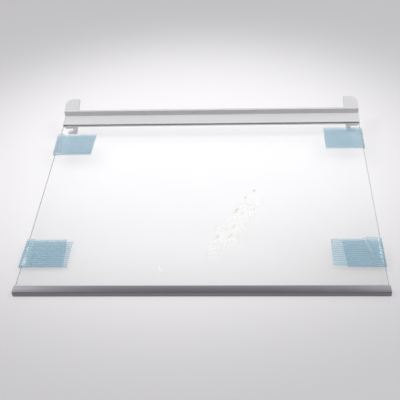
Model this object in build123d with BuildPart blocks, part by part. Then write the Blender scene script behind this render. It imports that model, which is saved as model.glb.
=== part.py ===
from build123d import *
import os
from math import cos, radians, sin

# Fridge glass shelf: a toughened pane between two moulded trims, with a strip of tape wrapped round
# each corner's side edge. Millimetres, +Z up, +Y towards the back of the fridge. The origin is the
# middle of the pane's top face.

# Pane
pane_width = 477.0
pane_depth = 369.0
pane_thickness = 4.0
pane_corner_radius = 3.0
pane_arris = 0.4

# Slots in both trims that the pane sits in
seat_clearance = 0.1
side_clearance = 0.2
front_slot_clearance = 0.3
rear_slot_clearance = 1.8
trim_end_wall = 1.3

# Front trim
front_cover = 8.9
front_wall = 2.7
front_lap = 1.3
front_ridge_drop = 0.3
front_crown = 0.3
front_floor = 1.4
front_skirt_drop = 0.8
front_skirt_thickness = 1.9
front_ridge_radius = 1.0
front_foot_radius = 0.4
front_back_corner_radius = 2.0
front_skirt_corner_radius = 0.6

# Rear trim: flange that thins towards its front edge, and upright lip behind it
rear_cover = 20.2
rear_lap = 1.9
flange_edge_drop = 0.8
rear_floor = 1.6
rear_edge_radius = 0.7
rear_corner_radius = 1.2
lip_thickness = 4.0
lip_height = 9.2
lip_edge_radius = 0.7
lip_root_radius = 0.4

# Tongues that rise rearwards from the lip at both ends of the rear trim
tongue_width = 23.0
tongue_length = 23.1
tongue_thickness = 3.0
tongue_rise_angle = 16.5
tongue_below_lip = 0.4
tongue_outer_radius = 13.0
tongue_inner_radius = 2.0
tongue_root_radius = 1.5

# Hooks under the rear trim: an arm, a strut that leans outwards, and a foot that points outwards
hook_end_inset = 0.5
hook_height = 24.3
arm_width = 20.2
arm_depth = 20.0
arm_height = 8.3
arm_radius = 3.0
arm_wall = 2.0
strut_setback = 6.0
strut_depth = 6.0
strut_width = 7.0
strut_lean = 4.0
instep_radius = 5.0
foot_length = 14.2
foot_height = 3.0
foot_radius = 1.0

# Tapes: top and bottom legs reach inwards from the pane's side edge, and the fold loops past it
tape_width = 48.0
tape_thickness = 0.3
tape_adhesive = 0.05
tape_slack = 1.6

# Places that follow from the sizes above
half_pane = pane_width / 2
half_depth = pane_depth / 2
half_trim = half_pane + side_clearance + trim_end_wall
slot_top = seat_clearance
slot_bottom = -pane_thickness - seat_clearance
half_slot = half_pane + side_clearance

front_back_y = -half_depth + front_cover
front_slot_y = -half_depth - front_slot_clearance
front_face_y = front_slot_y - front_wall
front_top_z = slot_top + front_lap
front_floor_z = slot_bottom - front_floor
front_skirt_z = front_floor_z - front_skirt_drop

rear_edge_y = half_depth - rear_cover
rear_slot_y = half_depth + rear_slot_clearance
rear_back_y = rear_slot_y + lip_thickness
rear_top_z = slot_top + rear_lap
rear_floor_z = slot_bottom - rear_floor
lip_top_z = rear_top_z + lip_height

hook_outer_x = half_trim - hook_end_inset
tongue_inner_x = hook_outer_x - tongue_width
arm_inner_x = hook_outer_x - arm_width
arm_front_y = rear_back_y - arm_depth
strut_back_y = arm_front_y + strut_setback + strut_depth
arm_z = rear_floor_z - arm_height
foot_z = rear_floor_z - hook_height
foot_inner_x = arm_inner_x + strut_lean
foot_outer_x = foot_inner_x + foot_length
strut_drop = arm_z - foot_z
instep_x = arm_inner_x + strut_width + strut_lean * (strut_drop - foot_height) / strut_drop
tongue_tilt = radians(tongue_rise_angle)

tape_top_z = tape_adhesive
tape_bottom_z = -pane_thickness - tape_adhesive

os.makedirs("parts", exist_ok=True)


# Glass pane, with rounded corners and a ground arris along every edge
with BuildPart() as glass_pane:
    with BuildSketch(Plane.XY.offset(-pane_thickness)):
        RectangleRounded(pane_width, pane_depth, pane_corner_radius)
    extrude(amount=pane_thickness)
    flat_faces = glass_pane.faces().filter_by(Axis.Z)
    chamfer(flat_faces.edges(), length=pane_arris)
glass_pane.part.label = "glass_pane"
export_step(glass_pane.part, "parts/glass_pane.step")


# Front trim, a crowned channel with a skirt under its front wall
with BuildPart() as front_trim:
    with BuildSketch(Plane.YZ.offset(-half_trim)):
        with BuildLine():
            ridge = (front_face_y, front_top_z - front_ridge_drop)
            top_back = (front_back_y, front_top_z)
            crown_middle = (
                (front_face_y + front_back_y) / 2,
                front_top_z - front_ridge_drop / 2 + front_crown,
            )
            ThreePointArc(top_back, crown_middle, ridge)
            Polyline(
                ridge,
                (front_face_y, front_skirt_z),
                (front_face_y + front_skirt_thickness, front_skirt_z),
                (front_face_y + front_skirt_thickness, front_floor_z),
                (front_back_y, front_floor_z),
                top_back,
            )
        make_face()
    extrude(amount=2 * half_trim)
    skirt_ends = front_trim.edges().filter_by(Axis.Y).group_by(Axis.Z)[0]
    fillet(skirt_ends, radius=front_skirt_corner_radius)
    upright = front_trim.edges().filter_by(Axis.Z)
    fillet(upright.group_by(Axis.Y)[-1], radius=front_back_corner_radius)
    front_edges = front_trim.edges().filter_by(Axis.X).group_by(Axis.Y)[0]
    fillet(front_edges.sort_by(Axis.Z)[-1], radius=front_ridge_radius)
    front_edges = front_trim.edges().filter_by(Axis.X).group_by(Axis.Y)[0]
    fillet(front_edges.sort_by(Axis.Z)[0], radius=front_foot_radius)
    with BuildSketch(Plane.XY.offset(slot_bottom)):
        with Locations((0, (front_slot_y + front_back_y) / 2)):
            Rectangle(2 * half_slot, front_back_y - front_slot_y)
    extrude(amount=slot_top - slot_bottom, mode=Mode.SUBTRACT)
front_trim.part.label = "front_trim"
export_step(front_trim.part, "parts/front_trim.step")


# Rear trim, one moulding: the right half with its tongue and hook, mirrored to the left
with BuildPart() as rear_trim:
    with BuildSketch(Plane.YZ):
        with BuildLine():
            lip_foot = (rear_slot_y, rear_top_z)
            flange_front = (rear_edge_y, rear_top_z - flange_edge_drop)
            TangentArc(lip_foot, flange_front, tangent=(-1, 0))
            Polyline(
                flange_front,
                (rear_edge_y, rear_floor_z),
                (rear_back_y, rear_floor_z),
                (rear_back_y, lip_top_z),
                (rear_slot_y, lip_top_z),
                lip_foot,
            )
        make_face()
    extrude(amount=half_trim)
    long_edges = rear_trim.edges().filter_by(Axis.X)
    fillet(long_edges.group_by(Axis.Z)[-1], radius=lip_edge_radius)
    long_edges = rear_trim.edges().filter_by(Axis.X)
    fillet(long_edges.sort_by_distance((half_trim / 2, *flange_front))[0], radius=rear_edge_radius)
    long_edges = rear_trim.edges().filter_by(Axis.X)
    fillet(long_edges.sort_by_distance((half_trim / 2, *lip_foot))[0], radius=lip_root_radius)
    end_edges = rear_trim.edges().filter_by(Axis.Z).group_by(Axis.X)[-1]
    fillet(end_edges.sort_by(Axis.Y)[0], radius=rear_corner_radius)

    tongue_plane = Plane(
        origin=(tongue_inner_x, rear_back_y, lip_top_z - tongue_below_lip),
        x_dir=(1, 0, 0),
        z_dir=(0, -sin(tongue_tilt), cos(tongue_tilt)),
    )
    tongue_root = lip_thickness / 2
    with BuildSketch(tongue_plane) as tongue_outline:
        with Locations((tongue_width / 2, (tongue_length - tongue_root) / 2)):
            Rectangle(tongue_width, tongue_length + tongue_root)
        tip = tongue_outline.vertices().group_by(Axis.Y)[-1].sort_by(Axis.X)
        fillet(tip[0], radius=tongue_inner_radius)
        tip = tongue_outline.vertices().sort_by(Axis.X).group_by(Axis.X)[-1].sort_by(Axis.Y)
        fillet(tip[-1], radius=tongue_outer_radius)
    extrude(amount=-tongue_thickness)
    root_edges = rear_trim.edges().filter_by(Axis.X).filter_by_position(Axis.Z, rear_top_z, lip_top_z)
    root_edges = root_edges.filter_by_position(Axis.X, tongue_inner_x, hook_outer_x)
    fillet(root_edges.group_by(Axis.Z)[0], radius=tongue_root_radius)

    with BuildSketch(Plane.XZ.offset(-rear_back_y)) as arm_outline:
        with Locations(((arm_inner_x + hook_outer_x) / 2, (rear_floor_z + arm_z) / 2)):
            Rectangle(arm_width, arm_height)
        fillet(arm_outline.vertices().group_by(Axis.Y)[0].sort_by(Axis.X)[-1], radius=arm_radius)
    extrude(amount=arm_depth)
    pocket_inner_x = arm_inner_x + strut_width + arm_wall
    pocket_outer_x = hook_outer_x - arm_wall
    with BuildSketch(Plane.XY.offset(arm_z)):
        with Locations(((pocket_inner_x + pocket_outer_x) / 2, arm_front_y + arm_depth / 2)):
            Rectangle(pocket_outer_x - pocket_inner_x, arm_depth - 2 * arm_wall)
    extrude(amount=arm_height - arm_wall, mode=Mode.SUBTRACT)

    with BuildSketch(Plane.XZ.offset(-strut_back_y)) as strut_outline:
        with BuildLine():
            Polyline(
                (arm_inner_x, arm_z),
                (arm_inner_x + strut_width, arm_z),
                (instep_x, foot_z + foot_height),
                (foot_outer_x, foot_z + foot_height),
                (foot_outer_x, foot_z),
                (foot_inner_x, foot_z),
                close=True,
            )
        make_face()
        fillet(strut_outline.vertices().group_by(Axis.Y)[0].sort_by(Axis.X)[-1], radius=foot_radius)
        instep = strut_outline.vertices().sort_by_distance((instep_x, foot_z + foot_height))
        fillet(instep[0], radius=instep_radius)
    extrude(amount=strut_depth)
    mirror(about=Plane.YZ)

    with BuildSketch(Plane.XY.offset(slot_bottom)):
        with Locations((0, (rear_edge_y + rear_slot_y) / 2)):
            Rectangle(2 * half_slot, rear_slot_y - rear_edge_y)
    extrude(amount=slot_top - slot_bottom, mode=Mode.SUBTRACT)
rear_trim.part.label = "rear_trim"
export_step(rear_trim.part, "parts/rear_trim.step")


# Tapes, each looped round the pane's side edge: name, side, end, setback of its middle from that end of the
# pane, then reach, skew and end slant of its top leg and of its under leg
tapes = (
    ("tape_front_left", -1, -1, 66.8, (54.5, 0.3, -1.5), (60.5, -0.5, 0.5)),
    ("tape_front_right", 1, -1, 65.9, (67.0, 0.6, 0.0), (50.0, 1.0, 2.2)),
    ("tape_rear_left", -1, 1, 70.2, (57.5, -0.2, 1.0), (56.0, 0.8, 0.5)),
    ("tape_rear_right", 1, 1, 59.5, (58.0, 1.3, 0.0), (56.5, -0.8, -0.5)),
)


def leg_outline(side, middle, reach, skew, slant):
    """Corner points of a tape's leg, from the pane's side edge to its free end."""
    edge = side * half_pane
    return (
        (edge, middle - tape_width / 2),
        (edge - side * (reach - slant), middle - tape_width / 2 + skew),
        (edge - side * (reach + slant), middle + tape_width / 2 + skew),
        (edge, middle + tape_width / 2),
    )


def loop_points(side, stand_off):
    """Top, outermost and bottom point of the fold's arc at a distance from the tape's inner face."""
    return (
        (side * half_pane, tape_top_z + stand_off),
        (side * (half_pane + tape_slack + stand_off), -pane_thickness / 2),
        (side * half_pane, tape_bottom_z - stand_off),
    )


for name, side, end, setback, top_leg, under_leg in tapes:
    middle = end * (half_depth - setback)
    with BuildPart() as tape:
        with BuildSketch(Plane.XY.offset(tape_top_z)):
            with BuildLine():
                Polyline(*leg_outline(side, middle, *top_leg), close=True)
            make_face()
        extrude(amount=tape_thickness)
        with BuildSketch(Plane.XY.offset(tape_bottom_z)):
            with BuildLine():
                Polyline(*leg_outline(side, middle, *under_leg), close=True)
            make_face()
        extrude(amount=-tape_thickness)
        with BuildSketch(Plane.XZ.offset(-middle - tape_width / 2)):
            with BuildLine():
                outer = loop_points(side, tape_thickness)
                inner = loop_points(side, 0)
                ThreePointArc(*outer)
                Line(outer[2], inner[2])
                ThreePointArc(*reversed(inner))
                Line(inner[0], outer[0])
            make_face()
        extrude(amount=tape_width)
    tape.part.label = name
    export_step(tape.part, f"parts/{name}.step")
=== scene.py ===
from math import atan, atan2, cos, exp, pi, radians

import bmesh
import bpy
from mathutils import Matrix, Vector, noise


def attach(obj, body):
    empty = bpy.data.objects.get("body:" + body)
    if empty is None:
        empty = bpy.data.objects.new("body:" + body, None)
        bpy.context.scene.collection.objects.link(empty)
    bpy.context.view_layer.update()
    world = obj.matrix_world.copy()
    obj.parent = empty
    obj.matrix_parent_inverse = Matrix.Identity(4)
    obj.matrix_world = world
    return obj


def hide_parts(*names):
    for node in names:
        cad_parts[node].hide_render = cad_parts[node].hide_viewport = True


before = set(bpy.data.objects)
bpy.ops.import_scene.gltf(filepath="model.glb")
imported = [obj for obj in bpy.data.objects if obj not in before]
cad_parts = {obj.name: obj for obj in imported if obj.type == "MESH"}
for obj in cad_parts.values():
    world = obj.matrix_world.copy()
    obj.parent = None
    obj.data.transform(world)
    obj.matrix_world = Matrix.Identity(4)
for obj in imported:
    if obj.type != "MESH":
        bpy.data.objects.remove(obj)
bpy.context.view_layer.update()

# Fridge glass shelf in metres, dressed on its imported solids: a clear pane, a silver front trim, a grey
# rear trim, and four strips of blue filament tape looped round the pane's side edges.
scene = bpy.context.scene
scene.view_settings.view_transform = "Standard"

# Sizes that the tapes share with the pane
half_pane = 0.2385
pane_thickness = 0.004
tape_width = 0.048
tape_gap = 0.00005
tape_film = 0.00012
filament_pitch = 0.00356

# Relief of the tapes: the crease's run-up, and the heights of ribs, ripples, curled ends and crumples
crease_run = 0.007
crease_waver = 0.0012
filament_rise = 0.00003
ripple_rise = 0.00005
curl_rise = 0.0003
curl_from = 0.85
crumple_rise = 0.00010

# Divisions of a tape: across it, along each leg and round the fold
tape_rows = 81
leg_steps = 30
fold_steps = 10

# The shelf stands on its front skirt and its two rear feet, so the floor slopes in the pane's frame
skirt_line = (-0.1875, -0.0063)
foot_line = (0.1763, -0.0300)
floor_reach = 30.0
floor_gap = 0.00002

# Marks on the pane's top face: middle, turn and half sizes of the smear and of a fine pale streak, and the
# flecks' places and half lengths
smear_place = (0.043, -0.066)
smear_turn = 62
smear_size = (0.074, 0.021)
flecks = (
    (0.0700, 0.0034, 0.0030),
    (0.0572, -0.0115, 0.0026),
    (0.0641, -0.0267, 0.0026),
    (0.0697, -0.0360, 0.0018),
    (0.0447, -0.0368, 0.0078),
    (0.0527, -0.0441, 0.0030),
    (0.0416, -0.0690, 0.0048),
    (0.0308, -0.0752, 0.0018),
    (0.0365, -0.0870, 0.0062),
    (0.0198, -0.0885, 0.0048),
)
fleck_half_width = 0.0007
pale_streak_place = (-0.0535, -0.1476)
pale_streak_turn = 98
pale_streak_size = (0.0095, 0.0010)


def new_finish(name):
    """A material with its node tree and Principled shader."""
    material = bpy.data.materials.new(name)
    material.use_nodes = True
    tree = material.node_tree
    return material, tree, tree.nodes["Principled BSDF"]


def feed(tree, socket, value):
    """Sets a socket to a value, or links it to another socket."""
    if isinstance(value, bpy.types.NodeSocket):
        tree.links.new(value, socket)
    else:
        socket.default_value = value


def add(tree, kind, inputs=None, **settings):
    """A node with its settings and its inputs."""
    made = tree.nodes.new(kind)
    for key, value in settings.items():
        setattr(made, key, value)
    for key, value in (inputs or {}).items():
        feed(tree, made.inputs[key], value)
    return made


def sums(tree, operation, first, second=0.0, third=0.0):
    """One arithmetic node's result."""
    return add(tree, "ShaderNodeMath", {0: first, 1: second, 2: third}, operation=operation).outputs[0]


def remap(tree, value, low, high, to_low, to_high):
    """A value carried smoothly from one range to another."""
    inputs = {"Value": value, "From Min": low, "From Max": high, "To Min": to_low, "To Max": to_high}
    return add(tree, "ShaderNodeMapRange", inputs, interpolation_type="SMOOTHSTEP").outputs["Result"]


def mottle(tree, vector, scale, detail=2.0, roughness=0.5):
    """Noise from 0 to 1."""
    inputs = {"Vector": vector, "Scale": scale, "Detail": detail, "Roughness": roughness}
    return add(tree, "ShaderNodeTexNoise", inputs).outputs["Fac"]


def stretched(tree, vector, scale):
    """Coordinates drawn out by a scale along each axis."""
    return add(tree, "ShaderNodeMapping", {"Vector": vector, "Scale": scale}).outputs["Vector"]


def patch(tree, vector, place, turn, size):
    """Distance from a patch's middle, 1 at the rim of an ellipse with that turn and size."""
    inputs = {
        "Vector": vector,
        "Location": (*place, 0),
        "Rotation": (0, 0, radians(turn)),
        "Scale": (*size, 1),
    }
    local = add(tree, "ShaderNodeMapping", inputs, vector_type="TEXTURE").outputs["Vector"]
    flat = add(tree, "ShaderNodeVectorMath", {0: local, 1: (1, 1, 0)}, operation="MULTIPLY")
    away = add(tree, "ShaderNodeVectorMath", {0: flat.outputs["Vector"]}, operation="LENGTH")
    return away.outputs["Value"]


def blend(tree, share, first, second):
    """A colour between two colours."""
    mix = add(tree, "ShaderNodeMix", data_type="RGBA")
    feed(tree, mix.inputs[0], share)
    feed(tree, mix.inputs[6], first)
    feed(tree, mix.inputs[7], second)
    return mix.outputs[2]


def clear_glass():
    """Clear float glass: polished faces with a dried smear, satin ground edges coloured dark grey as
    painted shade, and a faint green depth.
    """
    material, tree, shader = new_finish("clear_glass_finish")
    place = add(tree, "ShaderNodeTexCoord")
    spot = place.outputs["Object"]
    height = add(tree, "ShaderNodeSeparateXYZ", {0: spot}).outputs["Z"]
    top = remap(tree, height, -0.0006, -0.0002, 0.0, 1.0)
    upright = add(tree, "ShaderNodeSeparateXYZ", {0: place.outputs["Normal"]}).outputs["Z"]
    edge = remap(tree, sums(tree, "ABSOLUTE", upright), 0.5, 0.9, 1.0, 0.0)

    # Smear: a long pale blot with an uneven rim, wiped across the pane's front half
    away = patch(tree, spot, smear_place, smear_turn, smear_size)
    reach = sums(tree, "MULTIPLY_ADD", mottle(tree, spot, 45.0, 2.0), 1.4, away)
    smear = remap(tree, reach, 1.05, 1.65, 0.40, 0.0)

    # Flecks of dirt in the smear, each a short dash along it, and one fine pale streak of haze
    dirt = 0.0
    for x, y, length in flecks:
        away = patch(tree, spot, (x, y), smear_turn, (length, fleck_half_width))
        dirt = sums(tree, "MAXIMUM", dirt, remap(tree, away, 0.5, 1.0, 0.9, 0.0))
    # One fine pale streak: a thin ellipse of haze on the top face
    away = patch(tree, spot, pale_streak_place, pale_streak_turn, pale_streak_size)
    pale_streak = remap(tree, away, 0.5, 1.0, 0.6, 0.0)

    marks = sums(tree, "MAXIMUM", smear, sums(tree, "MAXIMUM", dirt, pale_streak))
    marks = sums(tree, "MULTIPLY", marks, top)
    hazed = sums(tree, "MAXIMUM", marks, sums(tree, "MULTIPLY", edge, 0.95))
    feed(tree, shader.inputs["Transmission Weight"], sums(tree, "SUBTRACT", 1.0, hazed))
    feed(tree, shader.inputs["Roughness"], sums(tree, "MULTIPLY", edge, 0.4))
    # Painted shade: the side edges take a dark grey colour for the dark lines they show, while their haze
    # and roughness are the grind's own satin
    tint = blend(tree, edge, (0.965, 0.972, 0.966, 1), (0.22, 0.22, 0.24, 1))
    tint = blend(tree, sums(tree, "MULTIPLY", smear, top), tint, (0.94, 0.94, 0.86, 1))
    tint = blend(tree, sums(tree, "MULTIPLY", dirt, top), tint, (0.25, 0.24, 0.22, 1))
    feed(tree, shader.inputs["Base Color"], tint)
    shader.inputs["IOR"].default_value = 1.5

    # Lamps shine through the pane instead of leaving it in shadow
    output = tree.nodes["Material Output"]
    through = add(tree, "ShaderNodeBsdfTransparent", {"Color": (0.93, 0.94, 0.935, 1)})
    ray = add(tree, "ShaderNodeLightPath").outputs["Is Shadow Ray"]
    pane = add(tree, "ShaderNodeMixShader", {0: ray, 1: shader.outputs[0], 2: through.outputs[0]})
    feed(tree, output.inputs["Surface"], pane.outputs[0])
    depth = add(tree, "ShaderNodeVolumeAbsorption", {"Color": (0.72, 0.79, 0.765, 1), "Density": 3.0})
    feed(tree, output.inputs["Volume"], depth.outputs[0])
    return material


def silver_satin():
    """Satin silver skin on a moulding: fine lines along its length and a soft, slightly uneven gloss."""
    material, tree, shader = new_finish("silver_satin_finish")
    spot = add(tree, "ShaderNodeTexCoord").outputs["Object"]
    lines = mottle(tree, stretched(tree, spot, (4.0, 900.0, 900.0)), 1.0, 3.0, 0.6)
    clouds = mottle(tree, spot, 25.0, 3.0)
    skin = blend(tree, clouds, (0.218, 0.210, 0.234, 1), (0.240, 0.231, 0.257, 1))
    feed(tree, shader.inputs["Base Color"], skin)
    shader.inputs["Metallic"].default_value = 0.85
    feed(tree, shader.inputs["Roughness"], sums(tree, "MULTIPLY_ADD", lines, 0.08, 0.29))
    bump = add(tree, "ShaderNodeBump", {"Height": lines, "Strength": 0.02, "Distance": 0.0002})
    feed(tree, shader.inputs["Normal"], bump.outputs[0])
    return material


def grey_moulding():
    """Light grey moulded plastic with a fine spark grain and faint flow marks."""
    material, tree, shader = new_finish("grey_moulding_finish")
    spot = add(tree, "ShaderNodeTexCoord").outputs["Object"]
    flow = mottle(tree, stretched(tree, spot, (6.0, 60.0, 60.0)), 1.0, 3.0)
    plastic = blend(tree, flow, (0.645, 0.636, 0.652, 1), (0.693, 0.684, 0.701, 1))
    feed(tree, shader.inputs["Base Color"], plastic)
    grain = mottle(tree, spot, 2600.0, 2.0)
    feed(tree, shader.inputs["Roughness"], sums(tree, "MULTIPLY_ADD", flow, 0.12, 0.46))
    bump = add(tree, "ShaderNodeBump", {"Height": grain, "Strength": 0.06, "Distance": 0.0001})
    feed(tree, shader.inputs["Normal"], bump.outputs[0])
    return material


def blue_tape():
    """Thin clear film over flat bundles of blue filaments that run along the tape."""
    material, tree, shader = new_finish("blue_tape_finish")
    run = add(tree, "ShaderNodeUVMap", uv_map="tape_run").outputs["UV"]
    across = add(tree, "ShaderNodeSeparateXYZ", {0: run}).outputs["Y"]
    waver = mottle(tree, stretched(tree, run, (25.0, 300.0, 1.0)), 1.0, 2.0)
    shifted = sums(tree, "MULTIPLY_ADD", waver, 0.0002, across)
    turn = sums(tree, "FRACT", sums(tree, "DIVIDE", shifted, filament_pitch))
    off_middle = sums(tree, "ABSOLUTE", sums(tree, "SUBTRACT", turn, 0.5))
    bundle = remap(tree, off_middle, 0.17, 0.33, 1.0, 0.0)
    strands = mottle(tree, stretched(tree, run, (60.0, 4200.0, 1.0)), 1.0, 2.0)
    blue = blend(tree, bundle, (0.315, 0.56, 0.70, 1), (0.28, 0.50, 0.635, 1))
    feed(tree, shader.inputs["Base Color"], blue)
    feed(tree, shader.inputs["Alpha"], sums(tree, "MULTIPLY_ADD", bundle, 0.28, 0.185))
    feed(tree, shader.inputs["Roughness"], sums(tree, "MULTIPLY_ADD", strands, 0.08, 0.13))
    shader.inputs["IOR"].default_value = 1.55
    return material


def looked_at(tree):
    """1 for rays that show a surface, straight, mirrored or through glass, and 0 for rays of light."""
    ray = add(tree, "ShaderNodeLightPath").outputs
    seen = sums(tree, "MAXIMUM", ray["Is Camera Ray"], ray["Is Glossy Ray"])
    return sums(tree, "MAXIMUM", seen, ray["Is Transmission Ray"])


def studio_paper():
    """Pale matt paper that shows a painted pool of light where it is looked at, brightest behind the
    shelf's middle and darker towards the corners, and keeps a soft shadow.
    """
    material, tree, shader = new_finish("studio_paper")
    spot = add(tree, "ShaderNodeTexCoord").outputs["Object"]
    shader.inputs["Base Color"].default_value = (0.840, 0.826, 0.848, 1)
    shader.inputs["Roughness"].default_value = 0.7
    shader.inputs["Specular IOR Level"].default_value = 0.2
    # Painted pool of light: the paper's glow is strongest behind the shelf's middle and fades to darker
    # corners
    away = patch(tree, spot, (-0.032, 0.13), 0, (0.41, 0.365))
    fall = sums(tree, "POWER", 2.718, sums(tree, "MULTIPLY", sums(tree, "POWER", away, 4.0), -1.0))
    painted_pool = sums(tree, "MULTIPLY_ADD", fall, 0.62, 0.44)
    glow = add(tree, "ShaderNodeEmission", {"Color": (0.992, 0.975, 1.0, 1), "Strength": painted_pool})
    share = sums(tree, "MULTIPLY", looked_at(tree), 0.65)
    paper = add(tree, "ShaderNodeMixShader", {0: share, 1: shader.outputs[0], 2: glow.outputs[0]})
    feed(tree, tree.nodes["Material Output"].inputs["Surface"], paper.outputs[0])
    return material


def finished(bm, name, material):
    """A mesh object at the origin from a bmesh, smooth except at its sharp edges."""
    mesh = bpy.data.meshes.new(name)
    bm.to_mesh(mesh)
    bm.free()
    for face in mesh.polygons:
        face.use_smooth = True
    mesh.set_sharp_from_angle(angle=radians(50))
    mesh.materials.append(material)
    piece = bpy.data.objects.new(name, mesh)
    scene.collection.objects.link(piece)
    return piece


def edges_of(made):
    """The edges among an operator's results."""
    return [e for e in made if isinstance(e, bmesh.types.BMEdge)]


def looped_sheet(top_reach, under_reach):
    """A flat strip folded over half a turn: x is 0 at the pane's edge, z is 0 at its middle."""
    radius = pane_thickness / 2 + tape_gap
    bm = bmesh.new()
    bmesh.ops.create_grid(bm, x_segments=leg_steps, y_segments=tape_rows, size=0.5)
    bmesh.ops.scale(bm, vec=(top_reach, tape_width, 1), verts=bm.verts)
    bmesh.ops.translate(bm, vec=(-top_reach / 2, 0, radius), verts=bm.verts)
    rim = [e for e in bm.edges if all(abs(v.co.x) < 1e-7 for v in e.verts)]
    turned = bmesh.ops.spin(
        bm, geom=rim, cent=(0, 0, 0), axis=(0, 1, 0), angle=pi, steps=fold_steps,
        use_merge=False, use_duplicate=False,
    )
    rim = edges_of(turned["geom_last"])
    for _ in range(leg_steps):
        drawn = bmesh.ops.extrude_edge_only(bm, edges=rim)["geom"]
        moved = [v for v in drawn if isinstance(v, bmesh.types.BMVert)]
        bmesh.ops.translate(bm, vec=(-under_reach / leg_steps, 0, 0), verts=moved)
        rim = [e for e in edges_of(drawn) if all(v in moved for v in e.verts)]
    bmesh.ops.remove_doubles(bm, verts=bm.verts, dist=1e-7)
    bmesh.ops.recalc_face_normals(bm, faces=bm.faces)
    if sum(f.normal.z * f.calc_area() for f in bm.faces if f.calc_center_median().z > radius / 2) < 0:
        bmesh.ops.reverse_faces(bm, faces=bm.faces)
    bm.normal_update()
    return bm


def tape_strip(name, side, middle, top_leg, under_leg, crease, lift, slack, drift, material):
    """A strip of filament tape round the pane's side edge. Between its crease and the fold it has come off
    the glass: it stands up by its lift and out by its slack, each given at the strip's front and rear
    edge. Drift is how far the filaments wander across the strip in a metre of it."""
    bm = looped_sheet(top_leg[0], under_leg[0])
    along = bm.verts.layers.float.new("along")
    across = bm.verts.layers.float.new("across")
    radius = pane_thickness / 2 + tape_gap
    moves = {}
    for v in bm.verts:
        x, y, z = v.co
        inward = max(0.0, -x)
        turn = atan2(max(x, 0.0), z) if x > -1e-7 else (0.0 if z > 0 else pi)
        reach, skew, slant = top_leg if z > 0 else under_leg
        share = y / tape_width + 0.5
        v[across] = y
        v[along] = radius * turn + (inward if z < 0 else -inward)
        thread = v[across] + tape_width / 2 + drift * v[along]
        rib = filament_rise * exp(-((thread / filament_pitch % 1.0 - 0.5) / 0.2) ** 2)
        wave = noise.noise(Vector((x * 90 * side, (y + middle) * 55, 3.0 if z > 0 else 9.0)))
        ripple = ripple_rise * (1 + wave)
        end = max(0.0, inward / reach - curl_from) / (1 - curl_from)
        curl = curl_rise * end * (0.4 + abs(y) / tape_width)
        loose_from = crease[0] + (crease[1] - crease[0]) * share + crease_waver * wave
        loose = min(1.0, max(0.0, (loose_from - inward) / crease_run)) if z > 0 else 0.0
        loose = loose * loose * (3 - 2 * loose)
        droop = 0.2 * max(0.0, 1 - inward / 0.006) ** 2 + 0.35 * max(0.0, 1 - share / 0.3) ** 2
        loose *= 1 - droop
        if x > 1e-7:
            loose = (1 - droop) * (1 + cos(turn)) / 2
        crumple = noise.noise(Vector((x * 150 * side, (y + middle) * 70, 6.0)))
        move = v.normal * (rib + ripple + curl + crumple_rise * loose * crumple)
        move.z += (lift[0] + (lift[1] - lift[0]) * share) * loose
        move.y += skew * inward / reach + middle
        if x < 0:
            move.x += x * slant * (2 * share - 1) / reach
        else:
            move.x += x * ((slack[0] + (slack[1] - slack[0]) * share) / radius - 1)
        moves[v] = move
    for v, move in moves.items():
        v.co += move
    bmesh.ops.solidify(bm, geom=bm.faces[:], thickness=-tape_film)
    bmesh.ops.translate(bm, vec=(half_pane, 0, -pane_thickness / 2), verts=bm.verts)
    bmesh.ops.scale(bm, vec=(side, 1, 1), verts=bm.verts)
    bmesh.ops.recalc_face_normals(bm, faces=bm.faces)
    run = bm.loops.layers.uv.new("tape_run")
    for face in bm.faces:
        for loop in face.loops:
            far = loop.vert[along]
            loop[run].uv = (far, loop.vert[across] + tape_width / 2 + drift * far)
    piece = finished(bm, name + "_strip", material)
    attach(piece, "root")
    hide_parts(name)
    return piece


def lamp(name, place, aim, size, power):
    """A soft square lamp turned to face a point."""
    data = bpy.data.lights.new(name, "AREA")
    data.shape = "SQUARE"
    data.size = size
    data.energy = power
    made = bpy.data.objects.new(name, data)
    made.location = place
    made.rotation_euler = (Vector(aim) - Vector(place)).to_track_quat("-Z", "Y").to_euler()
    scene.collection.objects.link(made)
    return made


def studio_world():
    """A room that gives little light of its own and looks pale, brightest low behind the shelf."""
    world = bpy.data.worlds.new("studio")
    world.use_nodes = True
    tree = world.node_tree
    way = add(tree, "ShaderNodeTexCoord").outputs["Generated"]
    depth = add(tree, "ShaderNodeSeparateXYZ", {0: way}).outputs["Y"]
    seen = looked_at(tree)
    front = sums(tree, "MULTIPLY_ADD", seen, -0.10, 0.28)
    around = sums(tree, "MULTIPLY_ADD", seen, 0.12, 0.22)
    room = remap(tree, depth, -0.7, -0.2, front, around)
    behind = remap(tree, depth, 0.59, 0.80, 0.0, sums(tree, "MULTIPLY", seen, 1.45))
    background = tree.nodes["Background"]
    background.inputs["Color"].default_value = (0.995, 0.995, 1.0, 1)
    feed(tree, background.inputs["Strength"], sums(tree, "ADD", room, behind))
    return world


# Finishes for the pane and the trims
for node, material in (
    ("glass_pane", clear_glass()),
    ("front_trim", silver_satin()),
    ("rear_trim", grey_moulding()),
):
    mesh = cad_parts[node].data
    mesh.materials.clear()
    mesh.materials.append(material)

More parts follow.
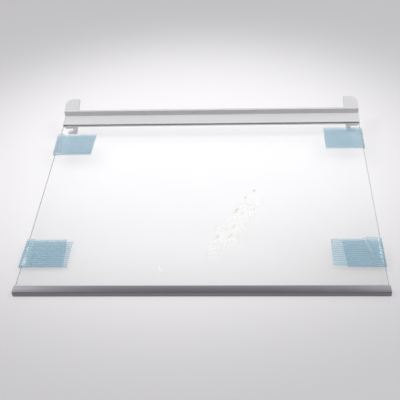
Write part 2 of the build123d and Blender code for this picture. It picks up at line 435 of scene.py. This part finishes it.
# Tapes: side, middle along the depth, then reach, skew and end slant of the top leg and of the under leg,
# then at the strip's front and rear the crease's distance from the pane's edge, the fold's lift and its
# slack, then the drift
tape_finish = blue_tape()
for name, side, middle, top_leg, under_leg, crease, lift, slack, drift in (
    (
        "tape_front_left", -1, -0.1177, (0.0545, 0.0003, -0.0015), (0.0605, -0.0005, 0.0005),
        (0.0135, 0.0125), (0.0018, 0.0020), (0.0038, 0.0025), -0.010,
    ),
    (
        "tape_front_right", 1, -0.1186, (0.0670, 0.0006, 0.0), (0.0500, 0.0010, 0.0022),
        (0.0125, 0.0260), (0.0020, 0.0040), (0.0018, 0.0010), -0.001,
    ),
    (
        "tape_rear_left", -1, 0.1143, (0.0575, -0.0002, 0.0010), (0.0560, 0.0008, 0.0005),
        (0.0140, 0.0080), (0.0040, 0.0030), (0.0032, 0.0042), -0.002,
    ),
    (
        "tape_rear_right", 1, 0.1250, (0.0580, 0.0013, 0.0), (0.0565, -0.0008, -0.0005),
        (0.0120, 0.0220), (0.0012, 0.0008), (0.0026, 0.0028), -0.026,
    ),
):
    tape_strip(name, side, middle, top_leg, under_leg, crease, lift, slack, drift, tape_finish)

# Floor
slope = (foot_line[1] - skirt_line[1]) / (foot_line[0] - skirt_line[0])
bm = bmesh.new()
bmesh.ops.create_grid(bm, x_segments=1, y_segments=1, size=floor_reach)
bmesh.ops.rotate(bm, cent=(0, 0, 0), matrix=Matrix.Rotation(atan(slope), 3, "X"), verts=bm.verts)
bmesh.ops.translate(bm, vec=(0, 0, skirt_line[1] - slope * skirt_line[0] - floor_gap), verts=bm.verts)
floor = finished(bm, "floor", studio_paper())

# Light: large soft lamps overhead and to each side, kept out of the reflections, and a small lamp behind
# each end
for name, place, size, power in (
    ("top_lamp", (0, -0.45, 2.0), 1.0, 12.6),
    ("left_lamp", (-1.25, 0.05, 1.55), 0.5, 10.6),
    ("right_lamp", (1.25, 0.05, 1.55), 0.5, 10.6),
):
    made = lamp(name, place, (0, 0, 0), size, power)
    made.visible_glossy = False
    made.visible_transmission = False
lamp("left_back_lamp", (-0.95, 0.86, 1.25), (0, 0, 0), 0.25, 2.9)
lamp("right_back_lamp", (0.75, 0.86, 1.25), (0, 0, 0), 0.25, 2.0)
scene.world = studio_world()

# Camera
view = bpy.data.cameras.new("camera")
view.lens = 64.918
view.sensor_width = 36.0
view.shift_x = -0.05136
camera = bpy.data.objects.new("camera", view)
camera.location = (0.06454, -0.76842, 0.70509)
camera.rotation_euler = (radians(46.8786), radians(1.8897), radians(1.4858))
scene.collection.objects.link(camera)
scene.camera = camera
